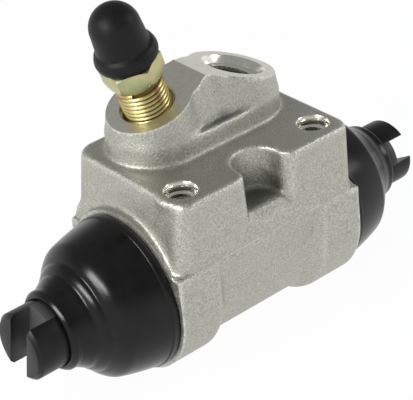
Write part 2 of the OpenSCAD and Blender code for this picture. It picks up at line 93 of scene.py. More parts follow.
table_white = bpy.data.materials.new("table_white")
table_white.use_nodes = True
nodes, links = table_white.node_tree.nodes, table_white.node_tree.links
nodes.clear()
out = nodes.new("ShaderNodeOutputMaterial")
paper = nodes.new("ShaderNodeBsdfDiffuse")
paper.inputs["Color"].default_value = (0.92, 0.92, 0.92, 1)
glow = nodes.new("ShaderNodeEmission")
glow.inputs["Color"].default_value = (1, 1, 1, 1)
glow.inputs["Strength"].default_value = 1.0
path = nodes.new("ShaderNodeLightPath")
seen = nodes.new("ShaderNodeMath")
seen.operation = "MAXIMUM"
links.new(path.outputs["Is Camera Ray"], seen.inputs[0])
links.new(path.outputs["Is Glossy Ray"], seen.inputs[1])
clear = nodes.new("ShaderNodeMath")
clear.operation = "MAXIMUM"
links.new(seen.outputs[0], clear.inputs[0])
links.new(path.outputs["Is Transmission Ray"], clear.inputs[1])
share = nodes.new("ShaderNodeMath")
share.operation = "MULTIPLY"
links.new(clear.outputs[0], share.inputs[0])
share.inputs[1].default_value = 0.97
mix = nodes.new("ShaderNodeMixShader")
links.new(share.outputs[0], mix.inputs["Fac"])
links.new(paper.outputs[0], mix.inputs[1])
links.new(glow.outputs[0], mix.inputs[2])
links.new(mix.outputs[0], out.inputs["Surface"])
table_mesh.materials.append(table_white)

room = bpy.data.worlds.new("room")
scene.world = room
room.use_nodes = True
nodes, links = room.node_tree.nodes, room.node_tree.links
nodes.clear()
out = nodes.new("ShaderNodeOutputWorld")
back = nodes.new("ShaderNodeBackground")
where = nodes.new("ShaderNodeTexCoord")
climb = nodes.new("ShaderNodeSeparateXYZ")
links.new(where.outputs["Generated"], climb.inputs[0])
ramp = nodes.new("ShaderNodeValToRGB")
links.new(climb.outputs["Z"], ramp.inputs["Fac"])
ramp.color_ramp.elements[0].position = 0.10
ramp.color_ramp.elements[0].color = (1, 1, 1, 1)
ramp.color_ramp.elements[1].position = 0.42
ramp.color_ramp.elements[1].color = (0.36, 0.36, 0.36, 1)
links.new(ramp.outputs["Color"], back.inputs["Color"])
back.inputs["Strength"].default_value = 0.88
links.new(back.outputs[0], out.inputs["Surface"])

LAMP_AIM, LAMP_DISTANCE = Vector((0, 0.01, -0.015)), 0.5
for name, towards, along, width, length, power in (
    ("box_left", (-0.86, -0.03, 0.50), (0.05, -0.93, -0.28), 0.065, 0.28, 1.7),
    ("box_right", (0.73, -0.50, 0.47), (0, 0, 1), 0.16, 0.16, 0.45),
):
    lamp = bpy.data.objects.new(name, bpy.data.lights.new(name, "AREA"))
    scene.collection.objects.link(lamp)
    lamp.data.shape = "RECTANGLE"
    lamp.data.size = width
    lamp.data.size_y = length
    lamp.data.energy = power
    away = Vector(towards).normalized()
    sideways = Vector(along).cross(away).normalized()
    facing = Matrix((sideways, away.cross(sideways), away)).transposed().to_4x4()
    lamp.matrix_world = Matrix.Translation(LAMP_AIM + LAMP_DISTANCE * away) @ facing

# The body: an aluminium casting, shot-blasted all over, then milled on the two sloping port
# faces, bored through, turned at both ends for the boots, and drilled and tapped.
BORE = Vector((-0.00045, 0.01095, -0.0248))
millimetres = Matrix.Scale(0.001, 4)
along_bore = Matrix.Translation(BORE) @ Matrix.Rotation(math.pi / 2, 4, "Y") @ millimetres
against_bore = Matrix.Translation(BORE) @ Matrix.Rotation(-math.pi / 2, 4, "Y") @ millimetres
bleeder_joint = next(j for j in frame["joints"] if j["name"] == "bleeder_turn")
BLEEDER_TILT, INLET_TILT = math.radians(17), math.radians(18)
RIDGE_X, RIDGE_Z, PORT_REACH = 0.0006, 0.0134, 0.0114
PORT_Y = bleeder_joint["pos_m"][1]
on_bleeder = Matrix.Translation(bleeder_joint["pos_m"]) @ Matrix.Rotation(-BLEEDER_TILT, 4, "Y") @ millimetres
inlet_point = (RIDGE_X + PORT_REACH, PORT_Y, RIDGE_Z - PORT_REACH * math.tan(INLET_TILT))
on_inlet = Matrix.Translation(inlet_point) @ Matrix.Rotation(INLET_TILT, 4, "Y") @ millimetres


def turned(name, profile, place, steps=128, loop=False):
    """A solid of revolution from a profile of (distance along the axis, radius) in millimetres."""
    bm = bmesh.new()
    rings = []
    for along, radius in profile:
        if radius < 1e-6:
            rings.append([bm.verts.new(place @ Vector((0, 0, along)))] * steps)
            continue
        ring = []
        for k in range(steps):
            a = 2 * math.pi * k / steps
            ring.append(bm.verts.new(place @ Vector((radius * math.cos(a), radius * math.sin(a), along))))
        rings.append(ring)
    pairs = list(zip(rings, rings[1:]))
    if loop:
        pairs.append((rings[-1], rings[0]))
    for lower, upper in pairs:
        for k in range(steps):
            n = (k + 1) % steps
            corners = []
            for v in (lower[k], lower[n], upper[n], upper[k]):
                if v not in corners:
                    corners.append(v)
            if len(corners) > 2:
                bm.faces.new(corners)
    bmesh.ops.recalc_face_normals(bm, faces=bm.faces)
    mesh = bpy.data.meshes.new(name)
    bm.to_mesh(mesh)
    bm.free()
    obj = bpy.data.objects.new(name, mesh)
    scene.collection.objects.link(obj)
    return obj


def prism(name, outline, low, high, place):
    """A straight prism over an outline of (x, y) points."""
    bm = bmesh.new()
    bottom = [bm.verts.new(place @ Vector((x, y, low))) for x, y in outline]
    top = [bm.verts.new(place @ Vector((x, y, high))) for x, y in outline]
    bm.faces.new(bottom[::-1])
    bm.faces.new(top)
    for k in range(len(outline)):
        n = (k + 1) % len(outline)
        bm.faces.new((bottom[k], bottom[n], top[n], top[k]))
    bmesh.ops.recalc_face_normals(bm, faces=bm.faces)
    mesh = bpy.data.meshes.new(name)
    bm.to_mesh(mesh)
    bm.free()
    obj = bpy.data.objects.new(name, mesh)
    scene.collection.objects.link(obj)
    return obj


def joined(name, *objs):
    """One object from several, with their meshes side by side."""
    bm = bmesh.new()
    for o in objs:
        bm.from_mesh(o.data)
        bpy.data.objects.remove(o)
    mesh = bpy.data.meshes.new(name)
    bm.to_mesh(mesh)
    bm.free()
    obj = bpy.data.objects.new(name, mesh)
    scene.collection.objects.link(obj)
    return obj


def settled(obj):
    """Applies an object's modifiers, so that a plain mesh is left."""
    graph = bpy.context.evaluated_depsgraph_get()
    mesh = bpy.data.meshes.new_from_object(obj.evaluated_get(graph))
    obj.modifiers.clear()
    obj.data = mesh
    return obj


def cut(obj, tool, operation="DIFFERENCE"):
    """Cuts one closed solid with another, which is used up."""
    step = obj.modifiers.new("cut", "BOOLEAN")
    step.object = tool
    step.operation = operation
    step.solver = "MANIFOLD"
    step.material_mode = "TRANSFER"
    settled(obj)
    bpy.data.objects.remove(tool)
    return obj


def edged(obj, degrees=35):
    """Smooth shading, with creases where the surface turns by more than an angle."""
    bm = bmesh.new()
    bm.from_mesh(obj.data)
    for f in bm.faces:
        f.smooth = True
    for e in bm.edges:
        e.smooth = len(e.link_faces) != 2 or e.calc_face_angle(0) < math.radians(degrees)
    bm.to_mesh(obj.data)
    bm.free()
    return obj


def finish_nodes(name):
    """A new material with its node lists and its main shader."""
    material = bpy.data.materials.new(name)
    material.use_nodes = True
    tree = material.node_tree
    return material, tree.nodes, tree.links, tree.nodes["Principled BSDF"]


def noise(nodes, links, place, scale, detail=2.0, rough=0.5):
    """A noise texture on the piece's own coordinates, in grains per metre."""
    texture = nodes.new("ShaderNodeTexNoise")
    texture.inputs["Scale"].default_value = scale
    texture.inputs["Detail"].default_value = detail
    texture.inputs["Roughness"].default_value = rough
    links.new(place, texture.inputs["Vector"])
    return texture.outputs["Fac"]


def toned(nodes, links, value, stops):
    """A colour ramp over a value."""
    ramp = nodes.new("ShaderNodeValToRGB")
    links.new(value, ramp.inputs["Fac"])
    elements = ramp.color_ramp.elements
    while len(elements) < len(stops):
        elements.new(0.5)
    for element, (position, colour) in zip(elements, stops):
        element.position = position
        element.color = (*colour, 1)
    return ramp.outputs["Color"]


def raised(nodes, links, height, strength, distance, below=None):
    """A bump from a height, where wanted on top of another bump."""
    bump = nodes.new("ShaderNodeBump")
    bump.inputs["Strength"].default_value = strength
    bump.inputs["Distance"].default_value = distance
    links.new(height, bump.inputs["Height"])
    if below is not None:
        links.new(below, bump.inputs["Normal"])
    return bump.outputs["Normal"]


def worked(nodes, links, operation, a, b):
    """One step of arithmetic on two values, each a socket or a number."""
    step = nodes.new("ShaderNodeMath")
    step.operation = operation
    for socket, value in zip(step.inputs, (a, b)):
        if isinstance(value, (int, float)):
            socket.default_value = value
        else:
            links.new(value, socket)
    return step.outputs[0]


def ranged(nodes, links, value, source, target):
    """A value carried from one range to another, and held there."""
    step = nodes.new("ShaderNodeMapRange")
    links.new(value, step.inputs["Value"])
    step.inputs["From Min"].default_value, step.inputs["From Max"].default_value = source
    step.inputs["To Min"].default_value, step.inputs["To Max"].default_value = target
    return step.outputs["Result"]


def mixed(nodes, links, share, a, b, kind="MIX"):
    """Two colours mixed by a share; each is a socket or a colour."""
    step = nodes.new("ShaderNodeMix")
    step.data_type = "RGBA"
    step.blend_type = kind
    for name, value in (("Factor", share), ("A", a), ("B", b)):
        if isinstance(value, (int, float)):
            step.inputs[name].default_value = value
        elif isinstance(value, tuple):
            step.inputs[name].default_value = (*value, 1)
        else:
            links.new(value, step.inputs[name])
    return step.outputs["Result"]


blasted, nodes, links, shader = finish_nodes("blasted_aluminium")
place = nodes.new("ShaderNodeTexCoord").outputs["Object"]
grain = noise(nodes, links, place, 3300, 2.0, 0.6)
patch = noise(nodes, links, place, 420, 4.0, 0.65)
pits = nodes.new("ShaderNodeTexVoronoi")
pits.inputs["Scale"].default_value = 2100
links.new(place, pits.inputs["Vector"])
tone = toned(nodes, links, grain, [(0.3, (0.33, 0.33, 0.295)), (0.7, (0.60, 0.60, 0.535))])
cloud = toned(nodes, links, patch, [(0.3, (0.93, 0.93, 0.925)), (0.7, (1.05, 1.05, 1.045))])
metal = mixed(nodes, links, 1.0, tone, cloud, "MULTIPLY")
# painted shade: the metal is darkened towards grey at the foot of the relief and on the shelf between the
# towers, where shadow falls in these recesses
for centre, spread, near, far in (
    ((-0.0005, 0.0005, -0.0090), (1.0, 1.0, 1.0), 0.0032, 0.0070),
    ((0.0006, 0.0086, 0.0047), (0.3, 1.0, 1.0), 0.0008, 0.0018),
):
    about = nodes.new("ShaderNodeMapping")
    about.vector_type = "TEXTURE"
    about.inputs["Location"].default_value = centre
    about.inputs["Scale"].default_value = [1 / s for s in spread]
    links.new(place, about.inputs["Vector"])
    from_shade_centre = nodes.new("ShaderNodeVectorMath")
    from_shade_centre.operation = "LENGTH"
    links.new(about.outputs["Vector"], from_shade_centre.inputs[0])
    shade = ranged(nodes, links, from_shade_centre.outputs["Value"], (near, far), (0.56, 0))
    # painted shade, mixed in towards dark grey near each centre
    metal = mixed(nodes, links, shade, metal, (0.12, 0.12, 0.115))
# the two halves of the mould met at the ledge and left a fine line
MOULD_DEPTH = 0.0152
split = nodes.new("ShaderNodeSeparateXYZ")
links.new(place, split.inputs[0])
off_line = worked(nodes, links, "ABSOLUTE", worked(nodes, links, "ADD", split.outputs["Z"], MOULD_DEPTH), 0)
line = ranged(nodes, links, off_line, (0.00008, 0.00028), (1, 0))
gaps = ranged(nodes, links, patch, (0.42, 0.55), (0, 1))
seam = worked(nodes, links, "MULTIPLY", line, gaps)
rim = nodes.new("ShaderNodeAttribute")
rim.attribute_name = "wear"
peaks = ranged(nodes, links, grain, (0.38, 0.6), (0.1, 0.75))
rubbed = worked(nodes, links, "MULTIPLY", rim.outputs["Fac"], peaks)
bright = worked(nodes, links, "MAXIMUM", rubbed, worked(nodes, links, "MULTIPLY", seam, 0.45))
links.new(mixed(nodes, links, bright, metal, (0.84, 0.84, 0.80)), shader.inputs["Base Color"])
shader.inputs["Metallic"].default_value = 1.0
links.new(ranged(nodes, links, patch, (0.3, 0.7), (0.44, 0.56)), shader.inputs["Roughness"])
pitted = raised(nodes, links, pits.outputs["Distance"], 0.5, 0.0001)
grained = raised(nodes, links, grain, 0.6, 0.00009, pitted)
seamed = raised(nodes, links, seam, 0.6, 0.0002, grained)
links.new(seamed, shader.inputs["Normal"])

milled, nodes, links, shader = finish_nodes("milled_aluminium")
place = nodes.new("ShaderNodeTexCoord").outputs["Object"]
stretch = nodes.new("ShaderNodeMapping")
stretch.inputs["Scale"].default_value = (1.0, 0.08, 1.0)
links.new(place, stretch.inputs["Vector"])
lines = noise(nodes, links, stretch.outputs["Vector"], 3800, 2.0, 0.6)
spots = noise(nodes, links, place, 900, 3.0, 0.6)
tone = toned(nodes, links, spots, [(0.3, (0.70, 0.70, 0.63)), (0.7, (0.80, 0.80, 0.72))])
links.new(tone, shader.inputs["Base Color"])
shader.inputs["Metallic"].default_value = 1.0
links.new(ranged(nodes, links, lines, (0.3, 0.7), (0.34, 0.42)), shader.inputs["Roughness"])
scored = raised(nodes, links, lines, 0.06, 0.00002)
links.new(scored, shader.inputs["Normal"])

bored, nodes, links, shader = finish_nodes("bored_aluminium")
place = nodes.new("ShaderNodeTexCoord").outputs["Object"]
spots = noise(nodes, links, place, 1500, 2.0, 0.6)
tone = toned(nodes, links, spots, [(0.3, (0.78, 0.78, 0.71)), (0.7, (0.88, 0.88, 0.80))])
links.new(tone, shader.inputs["Base Color"])
shader.inputs["Metallic"].default_value = 1.0
links.new(ranged(nodes, links, spots, (0.3, 0.7), (0.2, 0.24)), shader.inputs["Roughness"])
scored = raised(nodes, links, spots, 0.03, 0.00001)
links.new(scored, shader.inputs["Normal"])

# The blank of the casting: the CAD body with its holes filled and its boss and collars left
# long, run together into one skin whose edges are soft as from the mould.
blank = bpy.data.objects.new("blank", frame["nodes"]["body"].data.copy())
scene.collection.objects.link(blank)
bm = bmesh.new()
bm.from_mesh(blank.data)
bmesh.ops.remove_doubles(bm, verts=bm.verts, dist=1e-7)
bm.to_mesh(blank.data)
bm.free()
MOUNT_X = 0.0176
mount_holes = [Matrix.Translation((side * MOUNT_X, 0, 0)) @ millimetres for side in (-1, 1)]
fill = [
    turned("fill", [(-28.2, 0), (-28.2, 11.4), (28.2, 11.4), (28.2, 0)], along_bore),
    turned("fill", [(-25, 0), (-25, 2), (-9, 5.4), (1.5, 6.4), (1.5, 0)], on_bleeder),
    turned("fill", [(-25, 0), (-25, 2), (-11, 5.4), (-3, 7), (1.5, 7), (1.5, 0)], on_inlet),
]
TOWER_X, TOWER_Z, TOWER_LEAN = 0.0103, 0.0046, math.radians(3)
for side, hole in zip((-1, 1), mount_holes):
    fill.append(turned("fill", [(-14.5, 0), (-14.5, 3.4), (0, 3.4), (0, 0)], hole))
    foot = Matrix.Translation((RIDGE_X + side * TOWER_X, PORT_Y, TOWER_Z))
    tower = foot @ Matrix.Rotation(side * TOWER_LEAN, 4, "Y") @ millimetres
    fill.append(turned("fill", [(-1, 0), (-1, 8.8), (0, 9.85), (10.8, 7.886), (10.8, 0)], tower))
inlet_tower = fill[-1]
boss = Matrix.Translation((RIDGE_X, PORT_Y, 0)) @ millimetres
upright = boss @ Matrix.Rotation(math.pi / 2, 4, "Z") @ Matrix.Rotation(math.pi / 2, 4, "X")
web = prism("fill", [(-8.6, 3.6), (8.6, 3.6), (5.49, 15.6), (-5.49, 15.6)], -10.3, 10.3, upright)
HOLLOW_LEAN = math.radians(27.6)
for side in (-1, 1):
    hollow = boss @ Matrix.Translation((0, side * 15.1, 4.6)) @ Matrix.Rotation(side * HOLLOW_LEAN, 4, "X")
    cut(web, turned("tool", [(-4, 0), (-4, 7.73), (0, 7), (9.93, 5.2), (14.5, 4.37), (14.5, 0)], hollow))
fill.append(web)
WEDGE = [(-60, 60), (-60, -60 * math.tan(BLEEDER_TILT)), (0, 0), (60, -60 * math.tan(INLET_TILT)), (60, 60)]
ridge_end = Matrix.Translation((RIDGE_X, PORT_Y + 0.03, RIDGE_Z))
over_ridge = ridge_end @ Matrix.Rotation(math.pi / 2, 4, "X") @ millimetres
# half a millimetre is left on the rough tops for the mill
MILLED_OFF = Matrix.Translation((0, 0, 0.0005))
for rough_top in (inlet_tower, web):
    cut(rough_top, prism("tool", WEDGE, 0, 60, MILLED_OFF @ over_ridge))
for way in (along_bore, against_bore):
    fill.append(turned("fill", [(18, 0), (18, 17.42), (26, 17.42), (26, 0)], way))
casting = joined("cylinder_body", blank, *fill)
casting.data.materials.clear()
casting.data.materials.append(blasted)
VOXEL = 0.0004
shell = casting.modifiers.new("shell", "REMESH")
shell.mode = "VOXEL"
shell.voxel_size = VOXEL
soft = casting.modifiers.new("soft", "SMOOTH")
soft.factor = 0.5
soft.iterations = 16
settled(casting)

# Machining, in the order of the shop: port faces, ends, bore, ports and mounting holes.
tools = [prism("tool", WEDGE, 0, 60, over_ridge)]
COLLAR = 24.45
for way in (along_bore, against_bore):
    tools.append(turned("tool", [(COLLAR, 0), (COLLAR, 30), (40, 30), (40, 0)], way))
for t, finish in zip(tools, (milled, blasted, blasted)):
    t.data.materials.append(finish)
    cut(casting, t)
SPIGOT = [(COLLAR - 3, 0), (COLLAR - 3, 14.2), (25.65, 14.2), (25.65, 13.3)]
SPIGOT += [(27.65, 13.3), (27.65, 14.2), (28.25, 14.2), (28.65, 13.8), (28.65, 0)]
for way in (along_bore, against_bore):
    spigot = turned("spigot", SPIGOT, way)
    spigot.data.materials.append(milled)
    cut(casting, spigot, "UNION")
BLEEDER_HOLE = [(-26, 0), (-26, 1.6), (-11.45, 1.6), (-8, 5.05), (-0.85, 5.05), (0.6, 6.5), (0.6, 0)]
INLET_HOLE = [(-26, 0), (-26, 1.6), (-10.3, 1.6), (-10.3, 5), (-1.8, 5)]
INLET_HOLE += [(-1.6, 5.75), (-0.25, 6.35), (0.6, 7.2), (0.6, 0)]
MOUNT_HOLE = [(-13.5, 0), (-12, 3), (-2.1, 3), (-1.8, 2.91), (-0.1, 3.31), (0.9, 4.31), (0.9, 0)]
tools = [
    turned("tool", [(-40, 0), (-40, 11.1), (40, 11.1), (40, 0)], along_bore, 192),
    turned("tool", BLEEDER_HOLE, on_bleeder),
    turned("tool", INLET_HOLE, on_inlet),
]
for hole in mount_holes:
    tools.append(turned("tool", MOUNT_HOLE, hole, 64))
for t in tools:
    t.data.materials.append(bored)
    cut(casting, t)
edged(casting, 32)

# Handling has polished the casting's outer edges: the share of wear is kept for its finish.
bm = bmesh.new()
bm.from_mesh(casting.data)
bm.verts.ensure_lookup_table()
bend = [0.0] * len(bm.verts)
for v in bm.verts:
    total = sum(
        e.calc_face_angle_signed(0) * min(e.calc_length(), 2 * VOXEL) / VOXEL
        for e in v.link_edges
        if e.is_manifold
    )
    bend[v.index] = total / max(len(v.link_edges), 1)
for blur in range(3):
    bend = [
        0.5 * bend[v.index]
        + 0.5 * sum(bend[e.other_vert(v).index] for e in v.link_edges) / max(len(v.link_edges), 1)
        for v in bm.verts
    ]
bm.free()
WEAR_START, WEAR_SPAN = 0.03, 0.12
wear = casting.data.attributes.new("wear", "FLOAT", "POINT")
wear.data.foreach_set("value", [min(max((b - WEAR_START) / WEAR_SPAN, 0), 1) for b in bend])
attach(casting, "cylinder")
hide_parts("body")

# The tapped threads: cut ridges on the walls of the inlet and of the two mounting holes,
# swept along a right-hand helix of one millimetre pitch.
thread_tree = bpy.data.node_groups.new("cut_thread", "GeometryNodeTree")
sockets = thread_tree.interface
sockets.new_socket("Thread", in_out="OUTPUT", socket_type="NodeSocketGeometry")
for label in ("Radius", "Pitch", "Length", "Depth", "Inner Width", "Outer Width"):
    sockets.new_socket(label, in_out="INPUT", socket_type="NodeSocketFloat")
sockets.new_socket("Metal", in_out="INPUT", socket_type="NodeSocketMaterial")
nodes, links = thread_tree.nodes, thread_tree.links
given = nodes.new("NodeGroupInput")
made = nodes.new("NodeGroupOutput")
turns = nodes.new("ShaderNodeMath")
turns.operation = "DIVIDE"
links.new(given.outputs["Length"], turns.inputs[0])
links.new(given.outputs["Pitch"], turns.inputs[1])
helix = nodes.new("GeometryNodeCurveSpiral")
helix.inputs["Resolution"].default_value = 72
links.new(turns.outputs[0], helix.inputs["Rotations"])
links.new(given.outputs["Radius"], helix.inputs["Start Radius"])
links.new(given.outputs["Radius"], helix.inputs["End Radius"])
links.new(given.outputs["Length"], helix.inputs["Height"])
helix.inputs["Reverse"].default_value = True
square_on = nodes.new("GeometryNodeSetCurveNormal")
square_on.mode = "Z_UP"
links.new(helix.outputs["Curve"], square_on.inputs["Curve"])
ridge = nodes.new("GeometryNodeCurvePrimitiveQuadrilateral")
ridge.mode = "TRAPEZOID"
links.new(given.outputs["Depth"], ridge.inputs["Height"])
links.new(given.outputs["Inner Width"], ridge.inputs["Bottom Width"])
links.new(given.outputs["Outer Width"], ridge.inputs["Top Width"])
ridge.inputs["Offset"].default_value = 0
stand = nodes.new("GeometryNodeTransform")
stand.inputs["Rotation"].default_value = (0, 0, math.radians(-90))
links.new(ridge.outputs["Curve"], stand.inputs["Geometry"])
sweep = nodes.new("GeometryNodeCurveToMesh")
sweep.inputs["Fill Caps"].default_value = True
links.new(square_on.outputs["Curve"], sweep.inputs["Curve"])
links.new(stand.outputs["Geometry"], sweep.inputs["Profile Curve"])
whole = nodes.new("GeometryNodeRealizeInstances")
links.new(sweep.outputs["Mesh"], whole.inputs["Geometry"])
dress = nodes.new("GeometryNodeSetMaterial")
links.new(whole.outputs["Geometry"], dress.inputs["Geometry"])
links.new(given.outputs["Metal"], dress.inputs["Material"])
links.new(dress.outputs["Geometry"], made.inputs["Thread"])


def thread(name, place, start, sizes, metal, crease=25):
    """A swept thread from the tree above, placed along an axis; the sizes are in millimetres."""
    obj = bpy.data.objects.new(name, bpy.data.meshes.new(name))
    scene.collection.objects.link(obj)
    step = obj.modifiers.new("thread", "NODES")
    step.node_group = thread_tree
    for item in thread_tree.interface.items_tree:
        if item.in_out == "INPUT":
            step[item.identifier] = metal if item.name == "Metal" else float(sizes[item.name])
    settled(obj)
    obj.data.transform(place @ Matrix.Translation((0, 0, start)))
    bm = bmesh.new()
    bm.from_mesh(obj.data)
    bmesh.ops.remove_doubles(bm, verts=bm.verts, dist=1e-7)
    bmesh.ops.recalc_face_normals(bm, faces=bm.faces)
    bm.to_mesh(obj.data)
    bm.free()
    return edged(obj, crease)


tapped, nodes, links, shader = finish_nodes("tapped_aluminium")
place = nodes.new("ShaderNodeTexCoord").outputs["Object"]
chatter = noise(nodes, links, place, 2600, 2.0, 0.6)
tone = toned(nodes, links, chatter, [(0.3, (0.72, 0.72, 0.66)), (0.7, (0.86, 0.86, 0.79))])
links.new(tone, shader.inputs["Base Color"])
shader.inputs["Metallic"].default_value = 1.0
links.new(ranged(nodes, links, chatter, (0.3, 0.7), (0.2, 0.34)), shader.inputs["Roughness"])
scored = raised(nodes, links, chatter, 0.15, 0.00002)
links.new(scored, shader.inputs["Normal"])
INNER_CUT = {"Pitch": 1.0, "Depth": 0.55, "Inner Width": 0.2, "Outer Width": 0.92}
INLET_CUT = dict(INNER_CUT, Radius=4.74, Length=8.3)
MOUNT_CUT = dict(INNER_CUT, Radius=2.74, Length=9.6)
taps = [thread("inlet_thread", on_inlet, -10.2, INLET_CUT, tapped)]
for label, hole in zip(("left", "right"), mount_holes):
    taps.append(thread(label + "_mount_thread", hole, -11.6, MOUNT_CUT, tapped))
for t in taps:
    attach(t, "cylinder")

# The pressure cups, their expanders and the spring lie inside the bore: moulded seal rubber,
# pressed sheet steel and drawn spring wire. Cups and expanders keep their CAD shapes, and the
# spring is parted in the middle into two halves.
seal, nodes, links, shader = finish_nodes("seal_rubber")
place = nodes.new("ShaderNodeTexCoord").outputs["Object"]
bloom = noise(nodes, links, place, 900, 3.0, 0.6)
tone = toned(nodes, links, bloom, [(0.3, (0.018, 0.018, 0.018)), (0.75, (0.045, 0.045, 0.043))])
links.new(tone, shader.inputs["Base Color"])
shader.inputs["Roughness"].default_value = 0.5
skin = raised(nodes, links, bloom, 0.2, 0.00005)
links.new(skin, shader.inputs["Normal"])

wire, nodes, links, shader = finish_nodes("drawn_steel")
place = nodes.new("ShaderNodeTexCoord").outputs["Object"]
scale = noise(nodes, links, place, 1400, 3.0, 0.6)
tone = toned(nodes, links, scale, [(0.3, (0.34, 0.34, 0.35)), (0.7, (0.56, 0.56, 0.57))])
links.new(tone, shader.inputs["Base Color"])
shader.inputs["Metallic"].default_value = 1.0
shader.inputs["Roughness"].default_value = 0.32
skin = raised(nodes, links, scale, 0.2, 0.00003)
links.new(skin, shader.inputs["Normal"])
for name in ("left", "right"):
    for kind, finish in (("_cup", seal), ("_expander", wire)):
        mesh = frame["nodes"][name + kind].data
        mesh.materials.clear()
        mesh.materials.append(finish)
for name, side in (("left", -1), ("right", 1)):
    half = bpy.data.objects.new(name + "_spring_half", frame["nodes"]["spring"].data.copy())
    scene.collection.objects.link(half)
    bm = bmesh.new()
    bm.from_mesh(half.data)
    bmesh.ops.remove_doubles(bm, verts=bm.verts, dist=1e-7)
    parts = bm.verts[:] + bm.edges[:] + bm.faces[:]
    bmesh.ops.bisect_plane(bm, geom=parts, plane_co=BORE, plane_no=(-side, 0, 0), clear_outer=True)
    bmesh.ops.holes_fill(bm, edges=[e for e in bm.edges if e.is_boundary])
    bmesh.ops.recalc_face_normals(bm, faces=bm.faces)
    bm.to_mesh(half.data)
    bm.free()
    half.data.materials.clear()
    half.data.materials.append(wire)
    edged(half, 60)
    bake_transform(half)
    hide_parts("spring")

# The pistons: turned aluminium, hard anodised black, each with a groove for its boot and a
# slot across its nose for the web of a brake shoe.
anodised, nodes, links, shader = finish_nodes("black_anodised")
place = nodes.new("ShaderNodeTexCoord").outputs["Object"]
fleck = noise(nodes, links, place, 1800, 3.0, 0.6)
smear = noise(nodes, links, place, 260, 2.0, 0.5)
tone = toned(nodes, links, smear, [(0.3, (0.006, 0.006, 0.0065)), (0.75, (0.014, 0.014, 0.0145))])
rim = nodes.new("ShaderNodeAttribute")
rim.attribute_name = "wear"
worn = mixed(nodes, links, rim.outputs["Fac"], tone, (0.08, 0.08, 0.08))
links.new(worn, shader.inputs["Base Color"])
shader.inputs["Specular IOR Level"].default_value = 0.22
links.new(ranged(nodes, links, fleck, (0, 1), (0.3, 0.46)), shader.inputs["Roughness"])
skin = raised(nodes, links, fleck, 0.18, 0.00004)
links.new(skin, shader.inputs["Normal"])
PISTON_HEAD = [(12, 0), (12, 10.55), (12.5, 11.05), (26.5, 11.05), (27, 10.55)]
PISTON_NECK = [(27, 7.65), (27.5, 7.15), (41.25, 7.15), (41.25, 6.25), (43.85, 6.25)]
PISTON_NOSE = [(43.85, 7.15), (50.7, 7.15), (51.5, 6.35), (51.5, 0)]
SLOT_TURNS = {"left_piston": math.radians(12), "right_piston": math.radians(60)}
SLOT_FLOOR, SLOT_LENGTH, SLOT_HALF = 0.0469, 8, 2.55
# how far the wear on a slot's floor reaches up its walls and past its corners
WEAR_RISE, WEAR_HALF = 0.4, 2.7
for name, way, side in (("left_piston", against_bore, -1), ("right_piston", along_bore, 1)):
    piston = turned(name + "_turned", PISTON_HEAD + PISTON_NECK + PISTON_NOSE, way, 96)
    piston.data.materials.append(anodised)
    slot_place = (
        Matrix.Translation(BORE + Vector((side * SLOT_FLOOR, 0, 0)))
        @ Matrix.Rotation(SLOT_TURNS[name], 4, "X")
        @ millimetres
    )
    far = side * SLOT_LENGTH
    mouth = [(0, -SLOT_HALF), (far, -SLOT_HALF), (far, SLOT_HALF), (0, SLOT_HALF)]
    slot_cut = prism("slot", mouth, -12, 12, slot_place)
    slot_cut.data.materials.append(anodised)
    cut(piston, slot_cut)
    bm = bmesh.new()
    bm.from_mesh(piston.data)
    bmesh.ops.remove_doubles(bm, verts=bm.verts, dist=2e-6)
    bmesh.ops.dissolve_degenerate(bm, edges=bm.edges, dist=2e-6)
    bm.to_mesh(piston.data)
    bm.free()
    ease = piston.modifiers.new("ease", "BEVEL")
    ease.width = 0.0003
    ease.segments = 3
    ease.limit_method = "ANGLE"
    ease.angle_limit = math.radians(35)
    settled(piston)
    edged(piston, 40)
    to_slot = slot_place.inverted()
    points = [to_slot @ v.co for v in piston.data.vertices]
    wear = piston.data.attributes.new("wear", "FLOAT", "POINT")
    wear.data.foreach_set("value", [float(abs(p.y) < WEAR_HALF and abs(p.x) < WEAR_RISE) for p in points])
    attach(piston, name)
    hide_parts(name)

# The boots: moulded black rubber, snapped into the groove of each spigot and gripping the
# piston's nose with a bead.
rubber, nodes, links, shader = finish_nodes("boot_rubber")
place = nodes.new("ShaderNodeTexCoord").outputs["Object"]
skin_grain = noise(nodes, links, place, 2200, 3.0, 0.6)
dust = noise(nodes, links, place, 320, 4.0, 0.6)
tone = toned(nodes, links, dust, [(0.35, (0.004, 0.004, 0.004)), (0.75, (0.008, 0.008, 0.0078))])
links.new(tone, shader.inputs["Base Color"])
shader.inputs["Specular IOR Level"].default_value = 0.26
links.new(ranged(nodes, links, dust, (0, 1), (0.19, 0.26)), shader.inputs["Roughness"])
skin = raised(nodes, links, skin_grain, 0.12, 0.00005)
links.new(skin, shader.inputs["Normal"])


def rounded(points, radius, steps=5):
    """A profile with its inner corners rounded, each by a radius that its sides can hold."""
    course = [points[0]]
    for before, corner, after in zip(points, points[1:], points[2:]):
        a, c, b = Vector(before), Vector(corner), Vector(after)
        r = min(radius, (a - c).length * 0.45, (b - c).length * 0.45)
        p, q = c + (a - c).normalized() * r, c + (b - c).normalized() * r
        for k in range(steps + 1):
            t = k / steps
            course.append(tuple((1 - t) ** 2 * p + 2 * t * (1 - t) * c + t * t * q))
    course.append(points[-1])
    return course


BEAD = [(43.65, 7.35), (43.65, 6.45), (41.45, 6.45), (41.45, 7.35)]
SEAT = [(28.85, 14.4), (27.45, 14.4), (27.45, 13.5), (25.85, 13.5), (25.85, 14.4), (24.65, 14.4)]
# place, height and width of each soft fold across a boot's wall
LEFT_FOLDS = [(37.55, -0.22, 0.4), (39.45, -0.25, 0.5)]
RIGHT_FOLDS = [(35.6, -0.16, 0.4), (38.0, -0.2, 0.4), (40.2, -0.16, 0.4)]


